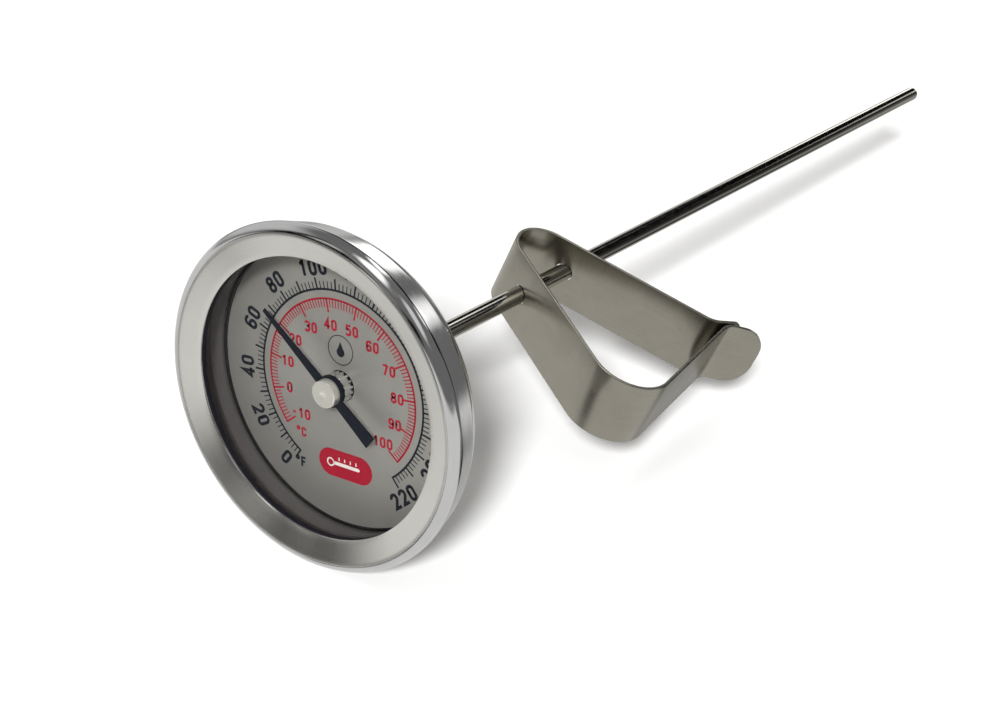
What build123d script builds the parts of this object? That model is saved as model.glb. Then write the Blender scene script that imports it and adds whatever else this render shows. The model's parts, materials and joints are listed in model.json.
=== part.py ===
from build123d import *
import math
import os

# Dial thermometer with an immersion stem and a sliding vessel clip.
# Frame: the stem runs along +Y from the origin, which is the middle of the hex nut's rear face.
# The dial faces -Y, with its 12 o'clock towards +Z and its 3 o'clock towards +X. Millimetres.
# A "depth" is measured backwards, along +Y, from the edge of the bezel's round opening.

# ---- driving dimensions ----
OPENING_R = 22.0            # round window of the bezel, a nominal 2 inch dial
HEAD_DEPTH = 14.0           # bezel opening to the hex nut's rear face
STEM_LENGTH = 203.0         # nominal 8 inch stem
STEM_R = 1.5
STEM_WALL = 0.3
SHEET = 0.6                 # stainless sheet of the bezel, the cup and the clip
RUNNING_GAP = 0.05          # radial play of a shaft in its bush
FACE_GAP = 0.05             # play between faces that turn on each other

# head
DIAL_DEPTH = 7.0
DIAL_R = 23.3
DIAL_THICK = 0.5
CRYSTAL_DEPTH = 1.4
CRYSTAL_THICK = 1.2
CRYSTAL_R = 25.0
GASKET_R = 22.1
CUP_R = 24.75               # mid-line of the cup's front wall
CUP_FLOOR_DEPTH = 10.7      # mid-line of the cup's floor
WIRE_R = 0.25               # snap ring that holds the dial down

# movement
SHAFT_R = 0.4
BUSHING_R = 2.4
BUSHING_FRONT = 5.15
FLUTES = 16
FLUTE_R = 0.3
SHANK_R = 3.0
FLANGE_R = 4.2
FLANGE_DEPTHS = (8.6, 9.5)
TUBE_TOP_DEPTH = 7.2
NUT_ACROSS_FLATS = 8.7
BOSS_R = 2.35
BOSS_DEPTHS = (2.8, 4.1)
POINTER_THICK = 0.25
COLLAR_R = 2.5
COLLAR_THICK = 0.6
NEEDLE_REACH = 16.0
TAIL_REACH = 9.9
COIL_SPAN = (145.0, 193.0)  # along the stem
COIL_R = 0.85               # mid-line of the wound strip
COIL_PITCH = 1.6
COIL_STRIP = (0.15, 1.0)    # radial thickness, width along the stem

# dial scale, in degrees clockwise from 12 o'clock
SCALE_START = -147.5        # at 0 F
DEGREES_PER_F = 1.325
REST_TEMPERATURE = 73.5     # Fahrenheit, a warm room

# clip: its strip's mid-line lies in a plane through the stem, as (along, away) from the origin
CLIP_WIDTH = 12.0
CLIP_TURN = 64.0            # the strip's width, up from +X about the stem
CLIP_HOLE_GAP = 0.3
CLIP_HOLE_SPAN = (20.0, 80.0)
TOP_BEND_R = 5.7
BOTTOM_BEND_R = 7.2
END_BEND_R = 4.0
REAR_TIP = (66.3, 28.7)
REAR_BEND = (61.2, 25.6)
TOP_CORNER = (47.66, -17.84)
BOTTOM_CORNER = (25.62, 31.99)
TAB_BEND = (63.2, 27.52)
TAB_TIP = (68.7, 33.3)
TAB_CORNER_R = 4.5
REAR_CORNER_R = 1.5
HINGE_GAP = 0.03


def at(depth):
    """Place along the stem axis of a depth behind the bezel's opening."""
    return depth - HEAD_DEPTH


def turned(*corners):
    """Solid of revolution about the stem from its (radius, y) corners."""
    return revolve(make_face(Polyline(*corners, close=True)), Axis.Y)


def ring(inner, outer, start, end):
    """Plain ring or disc from y = start to y = end."""
    return turned((inner, start), (outer, start), (outer, end), (inner, end))


def spun_sheet(*corners, bends):
    """Sheet metal spun about the stem: (radius, depth) corners of its mid-line, and its bend radii."""
    line = FilletPolyline(*[(radius, at(depth)) for radius, depth in corners], radius=bends)
    return revolve(trace(line, SHEET), Axis.Y)


def clockwise(radius, degrees):
    """Point on the dial, as (x, z), at an angle clockwise from 12 o'clock."""
    angle = math.radians(degrees)
    return radius * math.sin(angle), radius * math.cos(angle)


def dial_plane(depth):
    """Plane across the stem whose local x, y are the row's X, Z. Its normal points at the viewer."""
    return Plane(origin=(0, at(depth), 0), x_dir=(1, 0, 0), z_dir=(0, -1, 0))


# ---- head: case, window and dial ----

def bezel_ring():
    """Dished face, rounded rim, tapering side wall and a rear edge crimped inwards."""
    return spun_sheet((OPENING_R + 0.05, 0.39), (27.45, -1.55), (25.65, 4.7), (24.75, 6.3),
                      bends=[1.2, 1.2])


def crystal_gasket():
    """Black rubber ring that fills the space under the bezel's sloping face."""
    back = at(CRYSTAL_DEPTH)
    return turned((GASKET_R, at(0.72)), (25.2, at(-0.38)), (25.2, back), (GASKET_R, back))


def crystal():
    disc = ring(0, CRYSTAL_R, at(CRYSTAL_DEPTH), at(CRYSTAL_DEPTH + CRYSTAL_THICK))
    return chamfer(disc.edges().filter_by(GeomType.CIRCLE), 0.15)


def case_cup():
    """Drawn cup: front wall, a shoulder under the crimp, a ledge for the dial, and the floor."""
    hole = SHANK_R + RUNNING_GAP
    ledge = DIAL_DEPTH + DIAL_THICK + SHEET / 2
    return spun_sheet((CUP_R, CRYSTAL_DEPTH + CRYSTAL_THICK), (CUP_R, 4.9), (23.75, 6.4),
                      (23.75, ledge), (22.2, ledge), (21.2, CUP_FLOOR_DEPTH), (hole, CUP_FLOOR_DEPTH),
                      bends=[0.8, 0.8, 0.35, 0.6, 1.2])


def dial_plate():
    return ring(BUSHING_R + 0.4, DIAL_R, at(DIAL_DEPTH), at(DIAL_DEPTH + DIAL_THICK))


def dial_snap_ring():
    """Open wire ring that springs out against the cup's wall and lies on the dial's edge."""
    middle = DIAL_R - WIRE_R
    arc = CenterArc((0, 0, 0), middle, 95, 350)
    centre_line = dial_plane(DIAL_DEPTH - WIRE_R) * arc
    section = Plane(origin=centre_line @ 0, z_dir=centre_line % 0) * Circle(WIRE_R)
    return sweep(section, path=centre_line)


def spring_washer():
    """Coned washer that presses the cup's floor against the hex nut."""
    inner, outer = SHANK_R + 0.15, 5.6
    top, bottom = at(FLANGE_DEPTHS[1] + FACE_GAP), at(CUP_FLOOR_DEPTH - SHEET / 2)
    return turned((inner, top), (inner, top + 0.3), (outer, bottom), (outer, bottom - 0.3))


# ---- stem ----

def hex_nut():
    """Recalibration nut, with its corners chamfered on the rear side."""
    front, rear = at(CUP_FLOOR_DEPTH + SHEET / 2) + FACE_GAP, 0.0
    corner_r = NUT_ACROSS_FLATS / math.sqrt(3)
    base = Plane(origin=(0, front, 0), x_dir=(1, 0, 0), z_dir=(0, 1, 0))
    prism = extrude(base * RegularPolygon(corner_r, 6), rear - front)
    cone = turned((0, front), (corner_r, front), (corner_r, rear - 0.6), (corner_r - 0.9, rear), (0, rear))
    return (prism & cone) - ring(0, STEM_R, front, rear)


def stem_bushing():
    """Chromed bush that comes up through the dial: fluted nose, flange and plain shank."""
    front, shank_end = at(BUSHING_FRONT), at(CUP_FLOOR_DEPTH + SHEET / 2) + FACE_GAP
    flange_front, flange_back = (at(depth) for depth in FLANGE_DEPTHS)
    body = turned((1.2, front), (BUSHING_R, front), (BUSHING_R, flange_front), (FLANGE_R, flange_front),
                  (FLANGE_R, flange_back), (SHANK_R, flange_back), (SHANK_R, shank_end),
                  (STEM_R, shank_end), (STEM_R, at(TUBE_TOP_DEPTH)), (1.2, at(TUBE_TOP_DEPTH)))
    flute = extrude(dial_plane(FLANGE_DEPTHS[0]) * Circle(FLUTE_R), FLANGE_DEPTHS[0] - BUSHING_FRONT)
    for number in range(FLUTES):
        x, z = clockwise(BUSHING_R + 0.08, number * 360 / FLUTES)
        body -= Pos(x, 0, z) * flute
    return body


def bearing(start, end):
    """Brass bush that guides the pointer shaft."""
    return ring(SHAFT_R + RUNNING_GAP, 1.2, start, end)


def stem_tube():
    return ring(STEM_R - STEM_WALL, STEM_R, at(TUBE_TOP_DEPTH), STEM_LENGTH - 1.4)


def stem_tip_plug():
    """Plug pressed into the tube's end, with a rounded cap."""
    bore, shoulder = STEM_R - STEM_WALL, STEM_LENGTH - 1.4
    plug = ring(0, bore, shoulder - 4.6, shoulder) + ring(0, STEM_R, shoulder, STEM_LENGTH)
    rim = plug.edges().filter_by(GeomType.CIRCLE).sort_by(Axis.Y)[-1]
    return fillet(rim, 1.1)


def bimetal_coil():
    """Helix of bimetal strip that turns the pointer shaft as it warms."""
    start, end = COIL_SPAN
    helix = Helix(pitch=COIL_PITCH, height=end - start, radius=COIL_R)
    section = Plane(origin=helix @ 0, x_dir=(1, 0, 0), z_dir=helix % 0) * Rectangle(*COIL_STRIP)
    wound = sweep(section, path=helix, is_frenet=True)
    return Pos(0, start + COIL_STRIP[1] / 2, 0) * Rot(-90, 0, 0) * wound


def coil_anchor():
    """Slug that fixes the coil's lower end to the tube."""
    return ring(0, STEM_R - STEM_WALL, COIL_SPAN[1] + COIL_STRIP[1], STEM_LENGTH - 6.0)


# ---- pointer group ----

def pointer():
    """Flat needle with a round hub and a broad counterweight tail."""
    hub = Circle(COLLAR_R)
    needle = make_face(Polyline((-0.9, 1.8), (-0.5, NEEDLE_REACH), (0.5, NEEDLE_REACH), (0.9, 1.8), close=True))
    tail = make_face(Polyline((-0.85, -1.8), (-1.2, -TAIL_REACH), (1.2, -TAIL_REACH), (0.85, -1.8), close=True))
    outline = hub + needle + tail - Circle(SHAFT_R)
    rest_angle = SCALE_START + DEGREES_PER_F * REST_TEMPERATURE
    back = BOSS_DEPTHS[1] + POINTER_THICK
    return extrude(dial_plane(back) * Rot(0, 0, -rest_angle) * outline, POINTER_THICK)


def pointer_boss():
    """Turned aluminium cap with a small centre dimple."""
    front, back = (at(depth) for depth in BOSS_DEPTHS)
    cap = ring(0, BOSS_R, front, back)
    cap = fillet(cap.edges().filter_by(GeomType.CIRCLE).sort_by(Axis.Y)[0], 0.25)
    dimple = turned((0, front), (0.3, front), (0, front + 0.25))
    return cap - dimple - ring(0, SHAFT_R, front + 0.5, back)


def pointer_collar():
    start = at(BOSS_DEPTHS[1] + POINTER_THICK)
    return ring(SHAFT_R, COLLAR_R, start, start + COLLAR_THICK)


def pointer_shaft():
    return ring(0, SHAFT_R, at(BOSS_DEPTHS[0]) + 0.5, COIL_SPAN[0] - FACE_GAP)


def coil_ferrule():
    """Collar that joins the coil's upper end to the shaft."""
    return ring(SHAFT_R, COIL_R, COIL_SPAN[0] - 3.0, COIL_SPAN[0] - FACE_GAP)


# ---- vessel clip: one bent strip, split where its jaw flexes ----

TURN = math.radians(CLIP_TURN)
AWAY = Vector(math.sin(TURN), 0, -math.cos(TURN))
ACROSS = Vector(math.cos(TURN), 0, math.sin(TURN))
CLIP_PLANE = Plane(origin=(0, 0, 0), x_dir=(0, 1, 0), z_dir=-ACROSS)


def clip_halves():
    """Mid-line edges of the clip's body and of its jaw leaf, parted at the middle of the bottom bend.

    From the flared rear end: rear leaf, top bend, front leaf, bottom bend, jaw leaf and thumb tab."""
    line = FilletPolyline(REAR_TIP, REAR_BEND, TOP_CORNER, BOTTOM_CORNER, TAB_BEND, TAB_TIP,
                          radius=[END_BEND_R, TOP_BEND_R, BOTTOM_BEND_R, END_BEND_R])
    edges = Wire(line.edges()).order_edges()
    if (edges[0] @ 0 - Vector(*REAR_TIP)).length > (edges[-1] @ 1 - Vector(*REAR_TIP)).length:
        edges.reverse()
    bend = next(edge for edge in edges
                if edge.geom_type == GeomType.CIRCLE and math.isclose(edge.radius, BOTTOM_BEND_R))
    place = edges.index(bend)
    halves = bend.trim(0, 0.5), bend.trim(0.5, 1)
    near = (edges[place - 1] @ 0.5 - halves[0] @ 0.5).length < (edges[place - 1] @ 0.5 - halves[1] @ 0.5).length
    first, second = halves if near else reversed(halves)
    return [*edges[:place], first], [second, *edges[place + 1:]], bend @ 0.5


def clip_leaf(edges, tip, corner_radius):
    """Strip along mid-line edges, with the two corners at its free tip rounded."""
    strip = extrude(CLIP_PLANE * trace(edges, SHEET), CLIP_WIDTH / 2, both=True)
    middle = CLIP_PLANE.from_local_coords(Vector(*tip))
    ends = [middle + ACROSS * side * CLIP_WIDTH / 2 for side in (-1, 1)]
    corners = [edge for edge in strip.edges()
               if edge.length < 2 * SHEET and min((edge.center() - end).length for end in ends) < 0.1]
    return fillet(corners, corner_radius)


def clip_parts():
    """Clip body and jaw leaf, which meet in a half-round knuckle on the jaw's hinge line."""
    body_edges, jaw_edges, hinge = clip_halves()
    axis = Plane(origin=CLIP_PLANE.from_local_coords(hinge), z_dir=ACROSS)

    def knuckle(radius):
        return extrude(axis * Circle(radius), CLIP_WIDTH / 2, both=True)

    stem_hole = ring(0, STEM_R + CLIP_HOLE_GAP, *CLIP_HOLE_SPAN)
    body = clip_leaf(body_edges, REAR_TIP, REAR_CORNER_R) - stem_hole - knuckle(SHEET / 2 + HINGE_GAP)
    jaw = clip_leaf(jaw_edges, TAB_TIP, TAB_CORNER_R) + knuckle(SHEET / 2)
    return body, jaw


def build():
    clip_body, clip_jaw = clip_parts()
    return {
        "bezel_ring": bezel_ring(),
        "crystal_gasket": crystal_gasket(),
        "crystal": crystal(),
        "case_cup": case_cup(),
        "dial_plate": dial_plate(),
        "dial_snap_ring": dial_snap_ring(),
        "spring_washer": spring_washer(),
        "hex_nut": hex_nut(),
        "stem_bushing": stem_bushing(),
        "upper_bearing": bearing(at(BUSHING_FRONT) + 0.1, at(TUBE_TOP_DEPTH)),
        "lower_bearing": bearing(COIL_SPAN[0] - 10, COIL_SPAN[0] - 7),
        "stem_tube": stem_tube(),
        "stem_tip_plug": stem_tip_plug(),
        "bimetal_coil": bimetal_coil(),
        "coil_anchor": coil_anchor(),
        "coil_ferrule": coil_ferrule(),
        "pointer_shaft": pointer_shaft(),
        "pointer_collar": pointer_collar(),
        "pointer": pointer(),
        "pointer_boss": pointer_boss(),
        "clip_body": clip_body,
        "clip_jaw_leaf": clip_jaw,
    }


os.makedirs("parts", exist_ok=True)
for name, shape in build().items():
    export_step(shape, f"parts/{name}.step")
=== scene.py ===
import bisect
import json
import math

import bmesh
import bpy
from mathutils import Matrix, Vector


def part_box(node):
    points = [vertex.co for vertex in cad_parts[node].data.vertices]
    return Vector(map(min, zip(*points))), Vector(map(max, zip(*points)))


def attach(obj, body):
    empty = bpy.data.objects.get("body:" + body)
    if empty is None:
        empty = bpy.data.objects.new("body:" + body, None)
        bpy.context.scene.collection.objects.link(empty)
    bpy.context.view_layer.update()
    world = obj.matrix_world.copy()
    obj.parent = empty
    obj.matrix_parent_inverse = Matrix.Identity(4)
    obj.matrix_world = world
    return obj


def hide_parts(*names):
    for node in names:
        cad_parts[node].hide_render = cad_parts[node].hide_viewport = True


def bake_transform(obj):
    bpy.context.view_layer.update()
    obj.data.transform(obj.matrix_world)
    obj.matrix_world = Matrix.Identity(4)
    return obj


# Dial thermometer with an immersion stem and a vessel clip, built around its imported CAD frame.
# The stem runs along +Y, the dial faces -Y, 12 o'clock is +Z and 3 o'clock is +X.
# Sizes are in millimetres here, and pieces are made in metres. A "depth" is measured
# backwards, along +Y, from the edge of the bezel's round opening.

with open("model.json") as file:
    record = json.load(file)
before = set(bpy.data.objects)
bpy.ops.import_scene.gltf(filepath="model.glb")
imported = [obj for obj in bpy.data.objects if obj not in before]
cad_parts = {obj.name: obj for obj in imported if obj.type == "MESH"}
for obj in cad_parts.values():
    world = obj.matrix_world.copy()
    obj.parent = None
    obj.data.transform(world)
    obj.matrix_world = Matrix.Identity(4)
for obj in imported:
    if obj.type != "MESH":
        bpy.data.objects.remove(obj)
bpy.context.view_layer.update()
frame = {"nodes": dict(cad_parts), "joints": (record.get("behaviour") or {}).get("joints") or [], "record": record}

MM = 0.001
TURNS = 256                 # segments round the large turned pieces
SMALL_TURNS = 96            # and round the small ones


def span(node):
    """Lowest and highest corner of a CAD node, in millimetres."""
    low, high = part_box(node)
    return low / MM, high / MM


# ---- sizes ----
SHEET = 0.6                 # stainless sheet of the bezel, the cup and the clip
CUT_EDGE = 0.12             # rounding of the sheet's cut edges
CRYSTAL_DEPTH = 1.4
OPENING_Y = span("crystal")[0].y - CRYSTAL_DEPTH
DIAL_Y = span("dial_plate")[0].y
DIAL_BACK_Y = span("dial_plate")[1].y
DIAL_R = span("dial_plate")[1].x
STEM_R = span("stem_tube")[1].x
STEM_WALL = 0.3
STEM_END_Y = span("stem_tube")[1].y
TIP_Y = span("stem_tip_plug")[1].y
TIP_ROUND = 1.1
SAME = 1e-5                 # a line's points closer than this are one point
MERGE = 1e-4                # and a mesh's points

# dial scale, in degrees clockwise from 12 o'clock
SCALE_START = -145.7        # at 0 F
DEGREES_PER_F = 1.309
PRINT_DROP = 0.35           # the printing sits a little low on its plate
POINTER_REST = -50.1
INK = 0.02                  # half the thickness of the printing


def at(depth):
    """Place along the stem of a depth behind the edge of the bezel's opening."""
    return OPENING_Y + depth


# ---- mesh helpers ----

def rounded_line(corners, radii, step=math.radians(7)):
    """Points of an open line through corners, with an arc of each radius at each inner corner."""
    corners = [Vector(c) for c in corners]
    points = [corners[0]]
    for before, corner, after, radius in zip(corners, corners[1:], corners[2:], radii):
        if radius == 0:
            points.append(corner)
            continue
        back, on = (before - corner).normalized(), (after - corner).normalized()
        half = back.angle(on) / 2
        centre = corner + (back + on).normalized() * radius / math.sin(half)
        first, last = (corner + way * radius / math.tan(half) - centre for way in (back, on))
        turn = math.pi - 2 * half
        sign = 1 if first.x * last.y - first.y * last.x > 0 else -1
        count = max(2, math.ceil(turn / step))
        points += [centre + Matrix.Rotation(sign * turn * n / count, 2) @ first for n in range(count + 1)]
    points.append(corners[-1])
    return [points[0]] + [b for a, b in zip(points, points[1:]) if (b - a).length > SAME]


def refined(points, longest):
    """The same line, with long runs divided."""
    dense = [points[0]]
    for a, b in zip(points, points[1:]):
        count = max(1, math.ceil((b - a).length / longest))
        dense += [a.lerp(b, n / count) for n in range(1, count + 1)]
    return dense


def side_vectors(points, sharpest=0.3):
    """Normal to the left of a 2-D line at each of its points, as long as a mitre there has to be."""
    runs = [(b - a).normalized() for a, b in zip(points, points[1:])]
    sides = []
    for n in range(len(points)):
        before, after = runs[max(n - 1, 0)], runs[min(n, len(runs) - 1)]
        along = (before + after).normalized()
        sides.append(Vector((-along.y, along.x)) / max(sharpest, along.dot(after)))
    return sides


def sheet_outline(mid_line, thickness=SHEET, edge=CUT_EDGE):
    """Closed outline of sheet metal about its mid-line, with rounded cut edges."""
    sides = side_vectors(mid_line)
    half = thickness / 2
    start, end = (mid_line[1] - mid_line[0]).normalized(), (mid_line[-1] - mid_line[-2]).normalized()
    left = [p + s * half for p, s in zip(mid_line, sides)]
    right = [p - s * half for p, s in zip(mid_line, sides)]
    arc = [math.radians(a) for a in (0, 30, 60, 90)]

    def cap(centre, outward, side):
        """Half of a cut end, from the face on that side to the middle of the cut."""
        base = centre - outward * edge + side * (half - edge)
        return [base + outward * edge * math.sin(a) + side * edge * math.cos(a) for a in arc]

    tail, head = cap(mid_line[-1], end, sides[-1]), cap(mid_line[-1], end, -sides[-1])
    nose, heel = cap(mid_line[0], -start, -sides[0]), cap(mid_line[0], -start, sides[0])
    return left[1:-1] + tail + head[::-1] + right[-2:0:-1] + nose + heel[::-1]


def lathe(rings, turns=TURNS, closed=True, flute=None):
    """Mesh data of (radius, y) points turned about the stem. An open line ends on the axis."""
    verts, faces, rows = [], [], []
    for radius, y in rings:
        if radius < SAME:
            rows.append([len(verts)])
            verts.append((0, y, 0))
            continue
        rows.append(list(range(len(verts), len(verts) + turns)))
        for n in range(turns):
            angle = 2 * math.pi * n / turns
            reach = flute(radius, angle) if flute else radius
            verts.append((reach * math.sin(angle), y, reach * math.cos(angle)))
    pairs = list(zip(rows, rows[1:])) + ([(rows[-1], rows[0])] if closed else [])
    for a, b in pairs:
        for n in range(turns):
            m = (n + 1) % turns
            corners = [a[n % len(a)], a[m % len(a)], b[m % len(b)], b[n % len(b)]]
            faces.append(list(dict.fromkeys(corners)))
    return verts, faces


def solid_mesh(name, verts, faces):
    """Clean mesh in metres, with outward normals, from mesh data in millimetres."""
    mesh = bpy.data.meshes.new(name)
    mesh.from_pydata([Vector(v) * MM for v in verts], [], faces)
    cleaner = bmesh.new()
    cleaner.from_mesh(mesh)
    bmesh.ops.remove_doubles(cleaner, verts=cleaner.verts, dist=MERGE * MM)
    bmesh.ops.recalc_face_normals(cleaner, faces=cleaner.faces)
    cleaner.to_mesh(mesh)
    cleaner.free()
    return mesh


def make(name, verts, faces, body, finish, replaces=(), sharp=40):
    """A finished piece from mesh data in millimetres, riding on a body."""
    return dress(name, solid_mesh(name, verts, faces), body, finish, replaces, sharp)


def dress(name, mesh, body, finish, replaces=(), sharp=40):
    """A piece from a mesh in metres: smooth shading, material, body and CAD nodes."""
    mesh.shade_smooth()
    mesh.set_sharp_from_angle(angle=math.radians(sharp))
    mesh.materials.clear()
    mesh.materials.append(finish)
    piece = bpy.data.objects.new(name, mesh)
    bpy.context.scene.collection.objects.link(piece)
    if body:
        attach(piece, body)
    if replaces:
        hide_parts(*replaces)
    return piece


def cut_away(piece, cutter_data, sharp=40):
    """Cuts a solid, given as mesh data in millimetres, out of a piece."""
    cutter = bpy.data.objects.new("cutter", solid_mesh("cutter", *cutter_data))
    bpy.context.scene.collection.objects.link(cutter)
    cut = piece.modifiers.new("cut", "BOOLEAN")
    cut.operation, cut.object, cut.solver = "DIFFERENCE", cutter, "EXACT"
    bpy.context.view_layer.update()
    depsgraph = bpy.context.evaluated_depsgraph_get()
    result = bpy.data.meshes.new_from_object(piece.evaluated_get(depsgraph))
    piece.modifiers.clear()
    piece.data = result
    result.shade_smooth()
    result.set_sharp_from_angle(angle=math.radians(sharp))
    bpy.data.objects.remove(cutter)


# ---- materials ----
CLOUD_SCALE, WEAR_SCALE, WAVE_SCALE, HAZE_SCALE = 0.22, 0.9, 0.3, 0.4     # of noise, per millimetre
GRAIN_DEPTH = 0.02


def add(tree, kind, inputs=None, **settings):
    """A node with its settings, its input values and its links."""
    made = tree.nodes.new(kind)
    for key, value in settings.items():
        setattr(made, key, value)
    for key, value in (inputs or {}).items():
        if isinstance(value, bpy.types.NodeSocket):
            tree.links.new(value, made.inputs[key])
        else:
            made.inputs[key].default_value = value
    return made


def blank(name):
    """A node material with only its output, as (material, tree, surface input)."""
    made = bpy.data.materials.new(name)
    made.use_nodes = True
    made.node_tree.nodes.clear()
    output = made.node_tree.nodes.new("ShaderNodeOutputMaterial")
    return made, made.node_tree, output.inputs["Surface"]


def grain_coordinates(tree, grain):
    """Coordinates, in millimetres, stretched along the marks that a finish leaves."""
    place = add(tree, "ShaderNodeTexCoord").outputs["Object"]
    place = add(tree, "ShaderNodeVectorMath", {0: place, "Scale": 1 / MM}, operation="SCALE").outputs[0]
    if grain == "spun":      # rings about the stem
        flat = add(tree, "ShaderNodeVectorMath", {0: place, 1: (1, 0, 1)}, operation="MULTIPLY").outputs[0]
        radius = add(tree, "ShaderNodeVectorMath", {0: flat}, operation="LENGTH").outputs["Value"]
        axes = add(tree, "ShaderNodeSeparateXYZ", {0: place})
        angle = add(tree, "ShaderNodeMath", {0: axes.outputs["X"], 1: axes.outputs["Z"]},
                    operation="ARCTAN2").outputs[0]
        return add(tree, "ShaderNodeCombineXYZ",
                   {"X": radius, "Y": axes.outputs["Y"], "Z": angle}).outputs[0]
    if grain == "drawn":     # along the stem
        return add(tree, "ShaderNodeVectorMath", {0: place, 1: (1, 0.02, 1)},
                   operation="MULTIPLY").outputs[0]
    if grain == "rolled":    # along the clip's strip
        across = add(tree, "ShaderNodeVectorMath", {0: place, 1: ACROSS}, operation="DOT_PRODUCT")
        length = add(tree, "ShaderNodeVectorMath", {0: place, 1: AWAY}, operation="DOT_PRODUCT")
        along = add(tree, "ShaderNodeMath", {0: length.outputs["Value"], 1: 0.03}, operation="MULTIPLY")
        return add(tree, "ShaderNodeCombineXYZ",
                   {"X": across.outputs["Value"], "Y": along.outputs[0]}).outputs[0]
    return place


def noise(tree, place, scale, detail=3.0):
    return add(tree, "ShaderNodeTexNoise",
               {"Vector": place, "Scale": scale, "Detail": detail}).outputs["Fac"]


def spread(tree, value, low, high):
    """A noise value, spread from low to high."""
    return add(tree, "ShaderNodeMapRange",
               {"Value": value, "From Min": 0.25, "From Max": 0.75, "To Min": low, "To Max": high}).outputs[0]


def surface(name, colour, roughness, metallic=1.0, grain=None, grain_scale=9.0, grain_bump=0.15,
            tint=0.06, wear=0.04, anisotropy=0.0, specular=0.5, ripple=0.0):
    """Painted or metal finish: colour clouds, grain with its bump, and patches of wear in the roughness.

    The ripple is the height, in millimetres, of the sheet's slow waves."""
    made, tree, out = blank(name)
    place = grain_coordinates(tree, None)
    marks = noise(tree, grain_coordinates(tree, grain), grain_scale, 4.0)
    clouds = noise(tree, place, CLOUD_SCALE, 2.0)
    dark = [c * (1 - tint) for c in colour] + [1]
    light = [min(1, c * (1 + tint)) for c in colour] + [1]
    shade = add(tree, "ShaderNodeMath", {0: clouds, 1: marks}, operation="ADD").outputs[0]
    shade = add(tree, "ShaderNodeMapRange", {"Value": shade, "From Min": 0.7, "From Max": 1.3}).outputs[0]
    paint = add(tree, "ShaderNodeMix", {"Factor": shade}, data_type="RGBA")
    # a Mix node's colour sockets are inputs 6 and 7 and output 2, after those of its other data types
    paint.inputs[6].default_value, paint.inputs[7].default_value = dark, light
    rough = spread(tree, noise(tree, place, WEAR_SCALE), max(0.02, roughness - wear), roughness + wear)
    bump = add(tree, "ShaderNodeBump",
               {"Height": marks, "Strength": grain_bump, "Distance": GRAIN_DEPTH * MM})
    if ripple:
        waves = noise(tree, place, WAVE_SCALE, 1.0)
        bump = add(tree, "ShaderNodeBump",
                   {"Height": waves, "Distance": ripple * MM, "Normal": bump.outputs[0]})
    shader = add(tree, "ShaderNodeBsdfPrincipled", {
        "Base Color": paint.outputs[2], "Roughness": rough, "Normal": bump.outputs[0],
        "Metallic": metallic, "Specular IOR Level": specular, "Anisotropic": anisotropy,
        "Anisotropic Rotation": 0.25})
    if anisotropy:
        turned = add(tree, "ShaderNodeTangent", direction_type="RADIAL", axis="Y")
        tree.links.new(turned.outputs[0], shader.inputs["Tangent"])
    tree.links.new(shader.outputs[0], out)
    return made


def clear_glass(name, most_haze=0.06, least_mirror=0.012, grazing_mirror=0.9):
    """Flat glass that isn't seen to bend light: clear, and more of a mirror at a grazing angle."""
    made, tree, out = blank(name)
    place = grain_coordinates(tree, None)
    haze = spread(tree, noise(tree, place, HAZE_SCALE, 4.0), 0.0, most_haze)
    clear = add(tree, "ShaderNodeBsdfTransparent", {"Color": (0.97, 0.972, 0.965, 1)})
    shine = add(tree, "ShaderNodeBsdfGlossy", {"Color": (1, 1, 1, 1), "Roughness": haze})
    facing = add(tree, "ShaderNodeLayerWeight").outputs["Facing"]
    grazing = add(tree, "ShaderNodeMath", {0: facing, 1: 5.0}, operation="POWER").outputs[0]
    mirror = add(tree, "ShaderNodeMath", {0: grazing, 1: grazing_mirror, 2: least_mirror},
                 operation="MULTIPLY_ADD").outputs[0]
    mixed = add(tree, "ShaderNodeMixShader", {0: mirror, 1: clear.outputs[0], 2: shine.outputs[0]})
    tree.links.new(mixed.outputs[0], out)
    return made


# ---- the clip's frame: its strip lies across a plane through the stem ----
jaw_joint = next(j for j in frame["joints"] if j["name"] == "clip_jaw_opening")
ACROSS = -Vector(jaw_joint["axis"]).normalized()
AWAY = Vector((ACROSS.z, 0, -ACROSS.x))

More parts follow.
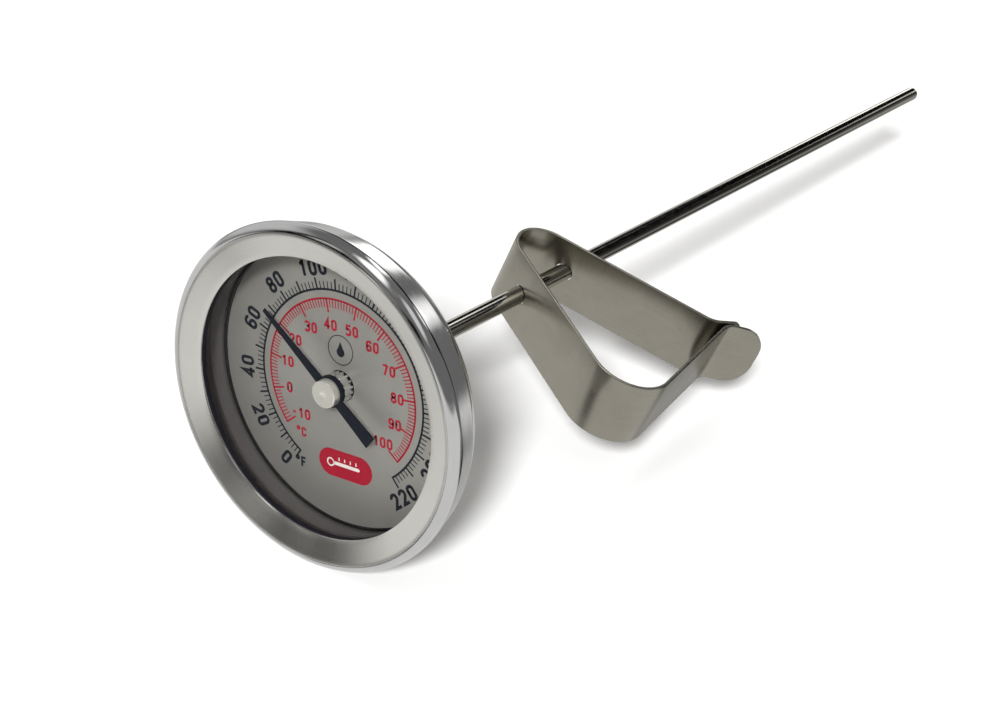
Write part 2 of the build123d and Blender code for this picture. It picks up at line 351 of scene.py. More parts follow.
finishes = {
    "bezel_steel": surface("spun_bezel_steel", (0.86, 0.85, 0.815), 0.28, grain="spun", grain_scale=5,
                           grain_bump=0.002, anisotropy=0.8, tint=0.02, wear=0.01),
    "case_steel": surface("drawn_case_steel", (0.56, 0.55, 0.53), 0.34, grain="spun", grain_scale=5,
                          grain_bump=0.01, anisotropy=0.5, tint=0.04),
    "stem_steel": surface("polished_stem_steel", (0.64, 0.63, 0.585), 0.12, grain="drawn",
                          grain_scale=6, grain_bump=0.05, wear=0.02),
    "clip_steel": surface("rolled_clip_steel", (0.375, 0.358, 0.311), 0.25, grain="rolled",
                          grain_scale=5, grain_bump=0.06, wear=0.03),
    "nut_plating": surface("nut_plating", (0.55, 0.54, 0.52), 0.25),
    "bushing_chrome": surface("bushing_chrome", (0.95, 0.95, 0.95), 0.16, grain_bump=0.02),
    "gasket_rubber": surface("gasket_rubber", (0.008, 0.008, 0.012), 0.55, metallic=0, specular=0.2),
    "crystal_glass": clear_glass("crystal_glass"),
    "dial_silver": surface("satin_dial_silver", (0.48, 0.468, 0.446), 0.42, metallic=0.75, grain="spun",
                           grain_scale=14, grain_bump=0.04, anisotropy=0.5, tint=0.04),
    # near-black wire at the dial's edge: its dark colour is painted shade, standing for the shadowed gap between
    # dial and case
    "ring_wire": surface("painted_shade_ring_wire", (0.05, 0.05, 0.055), 0.45, grain_bump=0.05),
    "pointer_black": surface("pointer_black_enamel", (0.006, 0.008, 0.013), 0.5, metallic=0,
                             specular=0.14),
    "boss_aluminium": surface("turned_aluminium", (0.95, 0.93, 0.87), 0.3, metallic=0.8, grain="spun",
                              grain_scale=16, grain_bump=0.2, anisotropy=0.4),
    "bearing_brass": surface("bearing_brass", (0.60, 0.43, 0.18), 0.3, grain="spun"),
    "coil_bimetal": surface("coil_bimetal", (0.45, 0.40, 0.33), 0.35, grain="spun"),
    "shaft_steel": surface("shaft_steel", (0.5, 0.5, 0.49), 0.25, grain="drawn"),
}
POLISHED_WALL = surface("polished_bezel_wall", (0.72, 0.72, 0.74), 0.12, grain="spun", grain_scale=7,
                        grain_bump=0.02, wear=0.05, tint=0.03, ripple=0.012)
# rough, dark steel for the cup's inward faces: its darkness is painted shade of the cup's inside, while the
# outside keeps the light steel
PAINTED_SHADE_LINING = surface("painted_shade_case_lining", (0.155, 0.145, 0.145), 0.7, metallic=0.7, grain="spun",
                      grain_bump=0.01, tint=0.03)
BLACK_INK = surface("black_printing", (0.010, 0.012, 0.018), 0.5, metallic=0, grain_bump=0.05,
                    specular=0.15)
RED_INK = surface("red_printing", (0.27, 0.008, 0.022), 0.45, metallic=0, grain_bump=0.05,
                  specular=0.15)
WHITE_INK = surface("silver_printing", (0.58, 0.54, 0.52), 0.5, metallic=0, grain_bump=0.05,
                    specular=0.2)

# the pieces inside keep their CAD shape
slot_of = {part["node"]: part["material_slot"] for part in frame["record"]["subparts"]}
for node, part in frame["nodes"].items():
    part.data.materials.clear()
    part.data.materials.append(finishes[slot_of[node]])


# ---- head ----

def turned_piece(name, rings, body, slot, nodes, turns=TURNS, closed=True, sharp=40, flute=None):
    """A lathe-turned piece in the finish of its slot."""
    verts, faces = lathe(rings, turns, closed, flute)
    return make(name, verts, faces, body, finishes[slot], nodes, sharp)


FACE_END_R = 25.8           # where the brushed face gives way to the polished rim and side wall
LIP_R = 22.2                # and, inwards, to the polished lip of the opening
WALL_START = 0.8
CREASE_WIDTH, CREASE_DEPTH = 0.3, 0.12
RIM_ROUND = 1.2
# the sheet's mid-line: lip, front corner, crimp at the back and its end
bezel_line = rounded_line([(22.05, at(0.39)), (27.45, at(-1.53)), (25.65, at(4.7)), (24.75, at(6.3))],
                          [RIM_ROUND, RIM_ROUND], math.radians(5))


def creased(outline, radius, width, depth):
    """An outline with a fine V-shaped groove where its front passes a radius."""
    cut = []
    front_end = at(-0.5)
    for a, b in zip(outline, outline[1:] + outline[:1]):
        cut.append(a)
        if (a.x - radius) * (b.x - radius) < 0 and a.y < front_end:
            share = (radius - a.x) / (b.x - a.x)
            along = (b - a).normalized()
            inward = Vector((along.y, -along.x))
            inward *= 1 if inward.y > 0 else -1
            cut += [a.lerp(b, share) + along * step * width / 2 + inward * drop * depth
                    for step, drop in ((-1, 0), (-0.2, 0.9), (0, 1), (0.2, 0.9), (1, 0))]
    return cut


bezel_outline = creased(sheet_outline(refined(bezel_line, longest=1.2)),
                        FACE_END_R, CREASE_WIDTH, CREASE_DEPTH)
bezel = turned_piece("bezel", bezel_outline, "head", "bezel_steel", ["bezel_ring"])
bezel.data.materials.append(POLISHED_WALL)
for face in bezel.data.polygons:
    middle = face.center / MM
    radius = math.hypot(middle.x, middle.z)
    if radius > FACE_END_R or radius < LIP_R or middle.y > at(WALL_START):
        face.material_index = 1

GASKET_R, GASKET_OUTER_R = 22.1, 25.2
gasket = [(GASKET_R, at(CRYSTAL_DEPTH)), (GASKET_R, at(0.78)), (GASKET_R + 0.08, at(0.71)),
          (GASKET_OUTER_R, at(-0.38)), (GASKET_OUTER_R, at(CRYSTAL_DEPTH))]
turned_piece("gasket", gasket, "head", "gasket_rubber", ["crystal_gasket"])

CRYSTAL_R, CRYSTAL_BACK, POLISH = 25.0, 2.6, 0.15
turned_piece("window_crystal", [
    (0, at(CRYSTAL_DEPTH)), (CRYSTAL_R - POLISH, at(CRYSTAL_DEPTH)), (CRYSTAL_R, at(CRYSTAL_DEPTH + POLISH)),
    (CRYSTAL_R, at(CRYSTAL_BACK - POLISH)), (CRYSTAL_R - POLISH, at(CRYSTAL_BACK)), (0, at(CRYSTAL_BACK))],
    "head", "crystal_glass", ["crystal"], closed=False)

# the cup's mid-line, from its mouth over the dial's ledge to the hole in its back
CUP_R, LEDGE_R, CUP_HOLE_R = 24.75, 23.75, 3.05
LEDGE_DEPTH, CUP_BACK = 7.8, 10.7
cup_line = rounded_line([(CUP_R, at(2.6)), (CUP_R, at(4.9)), (LEDGE_R, at(6.4)), (LEDGE_R, at(LEDGE_DEPTH)),
                         (22.2, at(LEDGE_DEPTH)), (21.2, at(CUP_BACK)), (CUP_HOLE_R, at(CUP_BACK))],
                        [0.8, 0.8, 0.35, 0.6, 1.2], math.radians(10))
cup = turned_piece("case_cup_shell", sheet_outline(refined(cup_line, longest=3)),
                   "head", "case_steel", ["case_cup"])
# the faces that look inwards get the dark lining, which is painted shade
cup.data.materials.append(PAINTED_SHADE_LINING)     # on the faces that look inwards
for face in cup.data.polygons:
    outwards = Vector((face.center.x, 0, face.center.z)).normalized() + Vector((0, 1, 0))
    if face.normal.dot(outwards) < 0:
        face.material_index = 1

DIAL_HOLE, DIAL_EDGE = 2.45, 0.04
turned_piece("dial_face", [
    (DIAL_HOLE, DIAL_BACK_Y), (DIAL_HOLE, DIAL_Y + DIAL_EDGE), (DIAL_HOLE + DIAL_EDGE, DIAL_Y)]
    + [(r, DIAL_Y) for r in range(5, 23, 3)]
    + [(DIAL_R - DIAL_EDGE, DIAL_Y), (DIAL_R, DIAL_Y + DIAL_EDGE), (DIAL_R, DIAL_BACK_Y)],
    "head", "dial_silver", ["dial_plate"])


def joined_rings(count, sides):
    """Faces that join a number of rings of points, each with the same sides, and close both ends."""
    tube = []
    for a in range(0, (count - 1) * sides, sides):
        b = a + sides
        for n in range(sides):
            m = (n + 1) % sides
            tube.append([a + n, a + m, b + m, b + n])
    return tube + [list(range(sides)), list(range((count - 1) * sides, count * sides))]


WIRE_R, WIRE_SIDES = 0.25, 12
RING_OPEN, RING_STEPS = 10.0, 180     # the ring's gap, in degrees, and its divisions
wire_verts = []
for n in range(RING_STEPS + 1):
    angle = math.radians(RING_OPEN / 2 + (360 - RING_OPEN) * n / RING_STEPS)
    for m in range(WIRE_SIDES):
        side = 2 * math.pi * m / WIRE_SIDES
        reach = DIAL_R - WIRE_R + WIRE_R * math.cos(side)
        wire_verts.append((reach * math.sin(angle), DIAL_Y - WIRE_R + WIRE_R * math.sin(side),
                           reach * math.cos(angle)))
make("dial_retaining_wire", wire_verts, joined_rings(RING_STEPS + 1, WIRE_SIDES), "head",
     finishes["ring_wire"], ["dial_snap_ring"])


# ---- pointer and bushing ----
BUSHING_R, BUSHING_BORE, BUSHING_BORE_END = 2.4, 1.2, 7.2
FLANGE_R, SHANK_R = 4.2, 3.0
FLANGE_FRONT, FLANGE_BACK = at(8.6), at(9.5)
BUSHING_Y, SHANK_END = span("stem_bushing")[0].y, span("stem_bushing")[1].y
FLUTES, FLUTE_R = 16, 0.3
FLUTE_OUT, FLUTE_REACH = 0.08, 0.2     # how far out the flutes' centres lie, and how deep they can cut


def fluted(radius, angle):
    """Radius of the bushing's nose, cut by its round flutes."""
    if abs(radius - BUSHING_R) > FLUTE_REACH:
        return radius
    step = 2 * math.pi / FLUTES
    off = (angle + step / 2) % step - step / 2
    centre = BUSHING_R + FLUTE_OUT
    reach = FLUTE_R ** 2 - (centre * math.sin(off)) ** 2
    return radius if reach <= 0 else min(radius, centre * math.cos(off) - math.sqrt(reach))


nose = [(BUSHING_BORE, BUSHING_Y), (BUSHING_R - 0.19, BUSHING_Y), (BUSHING_R - 0.1, BUSHING_Y + 0.02),
        (BUSHING_R, BUSHING_Y + 0.15), (BUSHING_R, FLANGE_FRONT)]
base = [(FLANGE_R, FLANGE_FRONT), (FLANGE_R, FLANGE_BACK), (SHANK_R, FLANGE_BACK), (SHANK_R, SHANK_END),
        (STEM_R, SHANK_END), (STEM_R, at(BUSHING_BORE_END)), (BUSHING_BORE, at(BUSHING_BORE_END))]
turned_piece("fluted_bushing", nose + base, "stem", "bushing_chrome", ["stem_bushing"],
             turns=FLUTES * 18, flute=fluted, sharp=30)

BOSS_R, BOSS_FRONT, BOSS_BACK = 2.2, span("pointer_boss")[0].y, span("pointer_boss")[1].y
boss_line = rounded_line([(0.46, BOSS_FRONT), (BOSS_R, BOSS_FRONT), (BOSS_R, BOSS_BACK)], [0.25])
dimple = [Vector((radius, BOSS_FRONT + depth))
          for radius, depth in ((0, 0.3), (0.12, 0.28), (0.34, 0.1), (0.4, 0.03))]
turned_piece("boss_cap", dimple + refined(boss_line, longest=0.4) + [Vector((0, BOSS_BACK))],
             "pointer", "boss_aluminium", ["pointer_boss"], turns=SMALL_TURNS, closed=False, sharp=28)

COLLAR_R, COLLAR_BORE = 2.5, 0.4
collar_front, collar_back = span("pointer_collar")[0].y, span("pointer_collar")[1].y
collar = rounded_line([(COLLAR_BORE, collar_front), (COLLAR_R, collar_front), (COLLAR_R, collar_back),
                       (COLLAR_BORE, collar_back)], [0.08, 0.12])
turned_piece("collar_ring", collar, "pointer", "pointer_black", ["pointer_collar"], turns=SMALL_TURNS)


def clockwise(radius, degrees):
    """Dial drawing's point at an angle clockwise from 12 o'clock."""
    angle = math.radians(degrees)
    return Vector((radius * math.sin(angle), radius * math.cos(angle)))


def on_dial(flat, y):
    """Dial drawing (right, up) as a point at a place along the stem."""
    return flat[0], y, flat[1]


def turned_flat(flat, degrees):
    """A drawing's point, turned clockwise about the dial's centre."""
    angle = math.radians(degrees)
    return Vector((flat[0] * math.cos(angle) + flat[1] * math.sin(angle),
                   flat[1] * math.cos(angle) - flat[0] * math.sin(angle)))


def pointer_outline():
    """Needle up, tail down, joined by the round hub."""
    hub, needle_root, needle_tip, needle_reach = 2.5, 0.76, 0.32, 16.0
    tail_root, tail_end, tail_reach = 0.87, 1.2, 9.9
    first = math.degrees(math.asin(needle_root / hub))
    last = 180 - math.degrees(math.asin(tail_root / hub))
    steps = 24
    side = [(needle_tip, needle_reach)]
    side += [clockwise(hub, first + (last - first) * n / steps) for n in range(steps + 1)]
    side += [(tail_end, -tail_reach)]
    return side + [(-x, y) for x, y in reversed(side)]


def plate(name, outline, front, back, body, slot, nodes, edge=0.05):
    """Flat plate of one outline with a small chamfer round its front."""
    lines = bmesh.new()
    bottom = [lines.verts.new(Vector(on_dial(p, back)) * MM) for p in outline]
    face = lines.faces.new(bottom)
    result = bmesh.ops.extrude_face_region(lines, geom=[face])
    top = [v for v in result["geom"] if isinstance(v, bmesh.types.BMVert)]
    bmesh.ops.translate(lines, verts=top, vec=Vector((0, (front - back) * MM, 0)))
    rim = [e for e in lines.edges if all(v in top for v in e.verts)]
    bmesh.ops.bevel(lines, geom=rim, offset=edge * MM, segments=2, affect="EDGES", profile=0.5)
    mesh = bpy.data.meshes.new(name)
    lines.to_mesh(mesh)
    lines.free()
    return dress(name, mesh, body, finishes[slot], nodes)


pointer_front, pointer_back = span("pointer")[0].y, span("pointer")[1].y
plate("needle", [turned_flat(p, POINTER_REST) for p in pointer_outline()],
      pointer_front, pointer_back, "pointer", "pointer_black", ["pointer"])


# ---- dial printing ----

# strokes of each character as corners and corner radii, in shares of its width and height
STROKE, LETTER_WIDTH, LETTER_GAP = 0.2, 0.6, 0.13
ROUND, HOOK = 0.5, 0.3
LETTERS = {
    "0": [([(0.5, 1), (1, 1), (1, 0), (0, 0), (0, 1), (0.5, 1)], [ROUND] * 4)],
    "1": [([(0.62, 1.08), (0.62, -0.08)], []), ([(0.05, 0.8), (0.45, 0.85), (0.6, 1.02)], [0.3])],
    "2": [([(0, 0.74), (0, 1), (1, 1), (1, 0.62), (0.02, 0), (1.1, 0)], [ROUND, ROUND, 0.6, 0])],
    "3": [([(-0.02, 0.84), (0.05, 1), (1, 1), (1, 0.54), (0.35, 0.54)], [HOOK, ROUND, 0.42]),
          ([(0.35, 0.54), (1, 0.54), (1, 0), (0.05, 0), (-0.02, 0.16)], [0.42, ROUND, HOOK])],
    "4": [([(0.74, -0.08), (0.74, 1.04), (-0.05, 0.27), (1.2, 0.27)], [0, 0])],
    "5": [([(1.05, 1), (0.12, 1), (0.05, 0.5)], [0]),
          ([(0.05, 0.5), (0.3, 0.64), (1, 0.64), (1, 0), (0.05, 0), (-0.02, 0.16)],
           [0.2, ROUND, ROUND, HOOK])],
    "6": [([(1.02, 0.84), (0.95, 1), (0, 1), (0, 0), (1, 0), (1, 0.56), (0, 0.56), (0, 0.36)],
           [HOOK, ROUND, ROUND, ROUND, ROUND, 0.4])],
    "7": [([(-0.1, 1), (1, 1), (0.32, -0.08)], [0.1])],
    "8": [([(0.5, 1), (0.96, 1), (0.96, 0.54), (0.04, 0.54), (0.04, 1), (0.5, 1)], [0.46] * 4),
          ([(0.5, 0.54), (1, 0.54), (1, 0), (0, 0), (0, 0.54), (0.5, 0.54)], [ROUND] * 4)],
    "9": [([(-0.02, 0.16), (0.05, 0), (1, 0), (1, 1), (0, 1), (0, 0.44), (1, 0.44), (1, 0.64)],
           [HOOK, ROUND, ROUND, ROUND, ROUND, 0.4])],
    "-": [([(0.1, 0.45), (0.95, 0.45)], [])],
    "F": [([(0, -0.08), (0, 1), (1.05, 1)], [0]), ([(0, 0.52), (0.85, 0.52)], [])],
    "C": [([(1, 0.7), (1, 1), (0, 1), (0, 0), (1, 0), (1, 0.3)], [ROUND] * 4)],
    "\u00b0": [([(0.6, 1.05), (0.95, 1.05), (0.95, 0.7), (0.3, 0.7), (0.3, 1.05), (0.6, 1.05)],
                [0.3] * 4)],
}


class Printing:
    """Flat marks of one ink, gathered as thin raised shapes on the dial."""

    def __init__(self, y=DIAL_Y):
        self.verts, self.faces, self.y = [], [], y

    def prism(self, outline):
        """Thin solid of a convex outline given clockwise or anticlockwise."""
        start, count = len(self.verts), len(outline)
        for y in (self.y - INK, self.y + INK):
            self.verts += [on_dial((p[0], p[1] - PRINT_DROP), y) for p in outline]
        self.faces += [list(range(start, start + count)), list(range(start + count, start + 2 * count))]
        for n in range(count):
            m = (n + 1) % count
            self.faces.append([start + n, start + m, start + count + m, start + count + n])

    def tick(self, degrees, inner, outer, width):
        """Short radial line."""
        sides = [(-width / 2, inner), (width / 2, inner), (width / 2, outer), (-width / 2, outer)]
        self.prism([turned_flat(p, degrees) for p in sides])

    def band(self, radius, width, start, end, step=1.5, centre=(0, 0)):
        """Ring or arc of ink."""
        whole = abs(end - start) >= 360
        count = max(8, round(abs(end - start) / step))
        rows = []
        for n in range(count + (0 if whole else 1)):
            turn = start + (end - start) * n / count
            row = []
            for y in (self.y - INK, self.y + INK):
                for r in (radius - width / 2, radius + width / 2):
                    point = clockwise(r, turn) + Vector(centre) - Vector((0, PRINT_DROP))
                    row.append(len(self.verts))
                    self.verts.append(on_dial(point, y))
            rows.append(row)
        loops = list(zip(rows, rows[1:])) + ([(rows[-1], rows[0])] if whole else [])
        for a, b in loops:
            for p, q in ((0, 1), (1, 3), (3, 2), (2, 0)):
                self.faces.append([a[p], a[q], b[q], b[p]])
        if not whole:
            self.faces += [[rows[0][n] for n in (0, 1, 3, 2)], [rows[-1][n] for n in (0, 1, 3, 2)]]

    def stroke(self, line, width):
        """Line of ink with square ends."""
        sides = side_vectors(line)
        for a, b, p, q in zip(line, line[1:], sides, sides[1:]):
            self.prism([a + p * width / 2, b + q * width / 2, b - q * width / 2, a - p * width / 2])

    def text(self, body, centre, height, turn=0.0):
        """Bold condensed characters, with the middle of the word at centre, turned clockwise."""
        weight = height * STROKE
        wide, tall = height * LETTER_WIDTH - weight, height - weight
        pitch = height * (LETTER_WIDTH + LETTER_GAP)
        for number, character in enumerate(body):
            left = pitch * (number - (len(body) - 1) / 2) - wide / 2
            for corners, radii in LETTERS[character]:
                line = rounded_line([(x * wide, y * tall) for x, y in corners],
                                    [r * wide for r in radii], math.radians(15))
                self.stroke([turned_flat(point + Vector((left, -tall / 2)), turn) + Vector(centre)
                             for point in line], weight)

    def piece(self, name, ink):
        """The finished piece, on the head."""
        return make(name, self.verts, self.faces, "head", ink, sharp=20)


def fahrenheit(value):
    return SCALE_START + DEGREES_PER_F * value


def celsius(value):
    return fahrenheit(32 + 1.8 * value)


F_RING, F_BAND, F_TICK, F_SHORT_TICK = 15.39, 0.34, 1.8, 1.2
C_RING, C_BAND, C_TICK, C_SHORT_TICK = 13.96, 0.3, 2.15, 1.35
TICK_WIDTH, SHORT_TICK_WIDTH = 0.3, 0.17
RING_PAST = 0.5                 # degrees that a scale's ring runs past its first and last tick
F_NUMBER_R, F_NUMBER, F_UNIT, F_UNIT_AT = 18.75, 2.65, 1.75, (-8.75, -14.6)
C_NUMBER_R, C_NUMBER, C_UNIT, C_UNIT_AT = 9.9, 1.8, 1.6, (-8.4, -9.4)
WIDE_NUMBER_OUT = 0.75          # numbers at the sides stand this much further out, for their width
UNIT_ROOM = {0: 4, 20: 1.5}     # degrees that the first numbers move up, to leave room for the unit
black, red = Printing(), Printing()
black.band(F_RING, F_BAND, fahrenheit(0) - RING_PAST, fahrenheit(220) + RING_PAST)
for value in range(0, 221, 2):
    major = value % 10 == 0
    black.tick(fahrenheit(value), F_RING, F_RING + (F_TICK if major else F_SHORT_TICK),
               TICK_WIDTH if major else SHORT_TICK_WIDTH)
for value in range(0, 221, 20):
    turn = fahrenheit(value) + UNIT_ROOM.get(value, 0)
    flipped = value in (0, 20, 200, 220)
    black.text(str(value), clockwise(F_NUMBER_R, turn), F_NUMBER, turn + (180 if flipped else 0))
black.text("\u00b0F", F_UNIT_AT, F_UNIT)

red.band(C_RING, C_BAND, celsius(-10) - RING_PAST, celsius(100) + RING_PAST)
for value in range(-10, 101):
    major = value % 10 == 0
    red.tick(celsius(value), C_RING - (C_TICK if major else C_SHORT_TICK), C_RING,
             TICK_WIDTH if major else SHORT_TICK_WIDTH)
for value in range(-10, 101, 10):
    turn = celsius(value)
    number_r = C_NUMBER_R + WIDE_NUMBER_OUT * math.sin(math.radians(turn)) ** 2
    red.text(str(value), clockwise(number_r, turn), C_NUMBER)
red.text("\u00b0C", C_UNIT_AT, C_UNIT)

# a plain ring with a drop, where such dials carry a test mark
MARK, MARK_R, MARK_LINE = Vector((0.1, 6.1)), 2.4, 0.14
DROP_R, DROP_LOW, DROP_TOP = 0.75, 0.35, 1.35
black.band(MARK_R - MARK_LINE / 2, MARK_LINE, 0, 360, 6, MARK)
drop = [clockwise(DROP_R, a) + MARK - Vector((0, DROP_LOW)) for a in range(40, 321, 20)]
black.prism(drop + [MARK + Vector((0, DROP_TOP))])
black.piece("dial_black_printing", BLACK_INK)

# a red bar with a thermometer sign, where such dials carry a name
BADGE, BADGE_R, BADGE_HALF = Vector((0.3, -12.95)), 2.3, Vector((2.9, 0))
red.prism([clockwise(BADGE_R, a) + BADGE + BADGE_HALF for a in range(0, 181, 12)]
          + [clockwise(BADGE_R, a) + BADGE - BADGE_HALF for a in range(180, 361, 12)])
red.piece("dial_red_printing", RED_INK)

BULB_X, BULB_R, BULB_LINE = -2.6, 0.62, 0.22
SIGN_START, SIGN_END, SIGN_POINT, SIGN_HALF = -2.0, 2.9, 3.15, 0.28
SIGN_TICKS, SIGN_TICK_START, SIGN_TICK_STEP, SIGN_TICK_WIDTH = 4, -1.0, 1.1, 0.2
sign = Printing(DIAL_Y - INK)
sign.band(BULB_R, BULB_LINE, 0, 360, 12, (BULB_X, BADGE.y))
low, high = BADGE.y - SIGN_HALF, BADGE.y + SIGN_HALF
sign.prism([(SIGN_START, high), (SIGN_END, high), (SIGN_POINT, BADGE.y), (SIGN_END, low), (SIGN_START, low)])
low, high = BADGE.y + 0.55, BADGE.y + 1.1
for n in range(SIGN_TICKS):
    left = SIGN_TICK_START + SIGN_TICK_STEP * n
    right = left + SIGN_TICK_WIDTH
    sign.prism([(left, low), (right, low), (right, high), (left, high)])
sign.piece("dial_sign_printing", WHITE_INK)


# ---- stem ----
TUBE_STEP, NUT_ROUNDING = 12.0, 0.08
bore = STEM_R - STEM_WALL
tube_top = span("stem_tube")[0].y
runs = [tube_top + n * TUBE_STEP for n in range(math.ceil((STEM_END_Y - tube_top) / TUBE_STEP))]
turned_piece("stem_sheath", [(bore, STEM_END_Y), (bore, tube_top)] + [(STEM_R, y) for y in runs]
             + [(STEM_R, STEM_END_Y)], "stem", "stem_steel", ["stem_tube"], turns=SMALL_TURNS)
tip_line = rounded_line([(0, TIP_Y), (STEM_R, TIP_Y), (STEM_R, STEM_END_Y)], [TIP_ROUND])
plug_end = span("stem_tip_plug")[0].y
turned_piece("stem_tip", tip_line + [(bore, STEM_END_Y), (bore, plug_end), (0, plug_end)],
             "stem", "stem_steel", ["stem_tip_plug"], turns=SMALL_TURNS, closed=False)
for node in ("hex_nut", "spring_washer", "coil_anchor"):
    rounding = frame["nodes"][node].modifiers.new("rounding", "BEVEL")
    rounding.width, rounding.segments, rounding.limit_method = NUT_ROUNDING * MM, 2, "ANGLE"
    rounding.angle_limit = math.radians(28)


# ---- clip: one bent strip, in two pieces that meet on the front leaf ----
# corners of its mid-line lie at (along the stem, away from it), from the rear leaf's tip to the tab's
CLIP_WIDTH = 12.0
HOLE_R = STEM_R + 0.12
TAB_CORNER_R, REAR_CORNER_R = 4.5, 1.5
REAR_TIP, REAR_BEND = (66.3, 28.7), (61.2, 25.6)
TOP_CORNER, BOTTOM_CORNER = (47.66, -17.84), (25.62, 31.99)
TAB_BEND, TAB_TIP = (63.2, 27.52), (68.7, 33.3)
TOP_BEND_R, BOTTOM_BEND_R, END_BEND_R = 5.7, 7.2, 4.0
BEND_START_AWAY, BEND_START_ALONG, BEND_END_ALONG = 15.0, 40.0, 38.0     # where to look for the bottom bend


def on_clip(flat):
    """A point of the clip's plane, given along the stem and away from it."""
    return Vector((0, flat.x, 0)) + AWAY * flat.y


def narrowing(left, radius):
    """How much a rounded corner takes off the half width, at a distance left to the strip's tip."""
    return radius - math.sqrt(max(0, radius ** 2 - (radius - left) ** 2)) if left < radius else 0


def strip_section(half_width, half_thick, edge=CUT_EDGE):
    """Rounded-rectangle section as (across, through) points."""
    points = []
    for sx, st, start in ((1, 1, 0), (-1, 1, 90), (-1, -1, 180), (1, -1, 270)):
        for step in (0, 30, 60, 90):
            angle = math.radians(start + step)
            points.append((sx * (half_width - edge) + edge * math.cos(angle),
                           st * (half_thick - edge) + edge * math.sin(angle)))
    return points


def strip(name, line, start_corner, end_corner, slot="clip_steel"):
    """Bent strip along a mid-line of (along, away) points, with rounded corners at its free tips."""
    line = refined(line, longest=1.0)
    sides = side_vectors(line)
    lengths = [0.0]
    for a, b in zip(line, line[1:]):
        lengths.append(lengths[-1] + (b - a).length)
    total, half = lengths[-1], CLIP_WIDTH / 2

    def place(s):
        """Point and side vector at a distance along the line."""
        n = min(bisect.bisect_right(lengths, s), len(lengths) - 1) - 1
        share = (s - lengths[n]) / (lengths[n + 1] - lengths[n])
        return line[n].lerp(line[n + 1], share), sides[n].lerp(sides[n + 1], share)

    # stations are (distance along the line, how much the section shrinks there)
    stations = {(s, 0.0) for s in lengths}
    for corner, tip in ((start_corner, 0.0), (end_corner, total)):
        if not corner:
            continue
        inward = 1 if tip == 0 else -1
        near = [corner * (1 - math.cos(math.radians(a))) for a in range(0, 91, 6)]
        stations = {(s, f) for s, f in stations if abs(s - tip) > corner}
        stations |= {(tip + inward * (CUT_EDGE + d * (1 - CUT_EDGE / corner)), 0.0) for d in near}
        stations |= {(tip, CUT_EDGE)}
    verts = []
    for s, shrink in sorted(stations):
        centre, side = place(s)
        take = max(narrowing(s, start_corner) if start_corner else 0,
                   narrowing(total - s, end_corner) if end_corner else 0)
        section = strip_section(half - take - shrink / 2, SHEET / 2 - shrink / 2)
        verts += [on_clip(centre + side * through) + ACROSS * across for across, through in section]
    faces = joined_rings(len(stations), len(section))
    return make(name, verts, faces, None, finishes[slot])


whole_line = rounded_line([REAR_TIP, REAR_BEND, TOP_CORNER, BOTTOM_CORNER, TAB_BEND, TAB_TIP],
                          [END_BEND_R, TOP_BEND_R, BOTTOM_BEND_R, END_BEND_R], math.radians(4))
bend_points = [n for n, p in enumerate(whole_line) if p.x < BEND_START_ALONG and p.y > BEND_START_AWAY]
seam = bend_points[0]                       # where the front leaf runs into the bottom bend
body_strip = strip("vessel_clip", whole_line[:seam + 1], REAR_CORNER_R, None)
jaw_strip = strip("vessel_clip_jaw", whole_line[seam:], None, TAB_CORNER_R)
CUTTER_START, CUTTER_END = 20, 80
hole_cutter = lathe([(0, CUTTER_START), (HOLE_R, CUTTER_START), (HOLE_R, CUTTER_END), (0, CUTTER_END)],
                    SMALL_TURNS, closed=False)
cut_away(body_strip, hole_cutter)
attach(body_strip, "clip")
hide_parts("clip_body")
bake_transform(jaw_strip)
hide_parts("clip_jaw_leaf")


# ---- floor, light and camera ----
FLOOR_UP = Vector((0.0797, -0.03, 0.9899)).normalized()     # under the rim, and clear of the clip's travel
TABLE_UP = Vector((0.0797, -0.1175, 0.9899)).normalized()   # the table that the metal mirrors
FLOOR_SIZE = 6.0
CAMERA_AT = Vector((160.53, -193.55, 108.74)) * MM
CAMERA_RIGHT = Vector((0.81644, 0.57742, 0.00276))
CAMERA_UP = Vector((-0.22922, 0.31971, 0.91937))
CAMERA_LENS, CAMERA_SENSOR = 64.8, 36.0

lowest = min(v.co.dot(FLOOR_UP) for part in frame["nodes"].values() for v in part.data.vertices)
floor_right = (CAMERA_RIGHT - FLOOR_UP * CAMERA_RIGHT.dot(FLOOR_UP)).normalized()
floor_back = FLOOR_UP.cross(floor_right)
floor_mesh = bpy.data.meshes.new("floor")
floor_mesh.from_pydata([FLOOR_UP * lowest + (floor_right * x + floor_back * y) * FLOOR_SIZE / 2
                        for x, y in ((-1, -1), (1, -1), (1, 1), (-1, 1))], [], [[0, 1, 2, 3]])
floor = bpy.data.objects.new("floor", floor_mesh)
bpy.context.scene.collection.objects.link(floor)
paper, paper_tree, paper_out = blank("pale_floor")
PAPER_SCALE, PAPER_DARK, PAPER_LIGHT = 0.02, 0.88, 0.92
paper_noise = noise(paper_tree, grain_coordinates(paper_tree, None), PAPER_SCALE)
speckle = spread(paper_tree, paper_noise, PAPER_DARK, PAPER_LIGHT)
paper_shader = add(paper_tree, "ShaderNodeBsdfDiffuse", {"Color": speckle})
paper_tree.links.new(paper_shader.outputs[0], paper_out)
floor_mesh.materials.append(paper)
floor.visible_glossy = False     # metal mirrors the surroundings' table instead


def in_studio(right, back, up):
    """Direction given along the floor, as the camera faces it, and up from it."""
    return (floor_right * right + floor_back * back + FLOOR_UP * up).normalized()


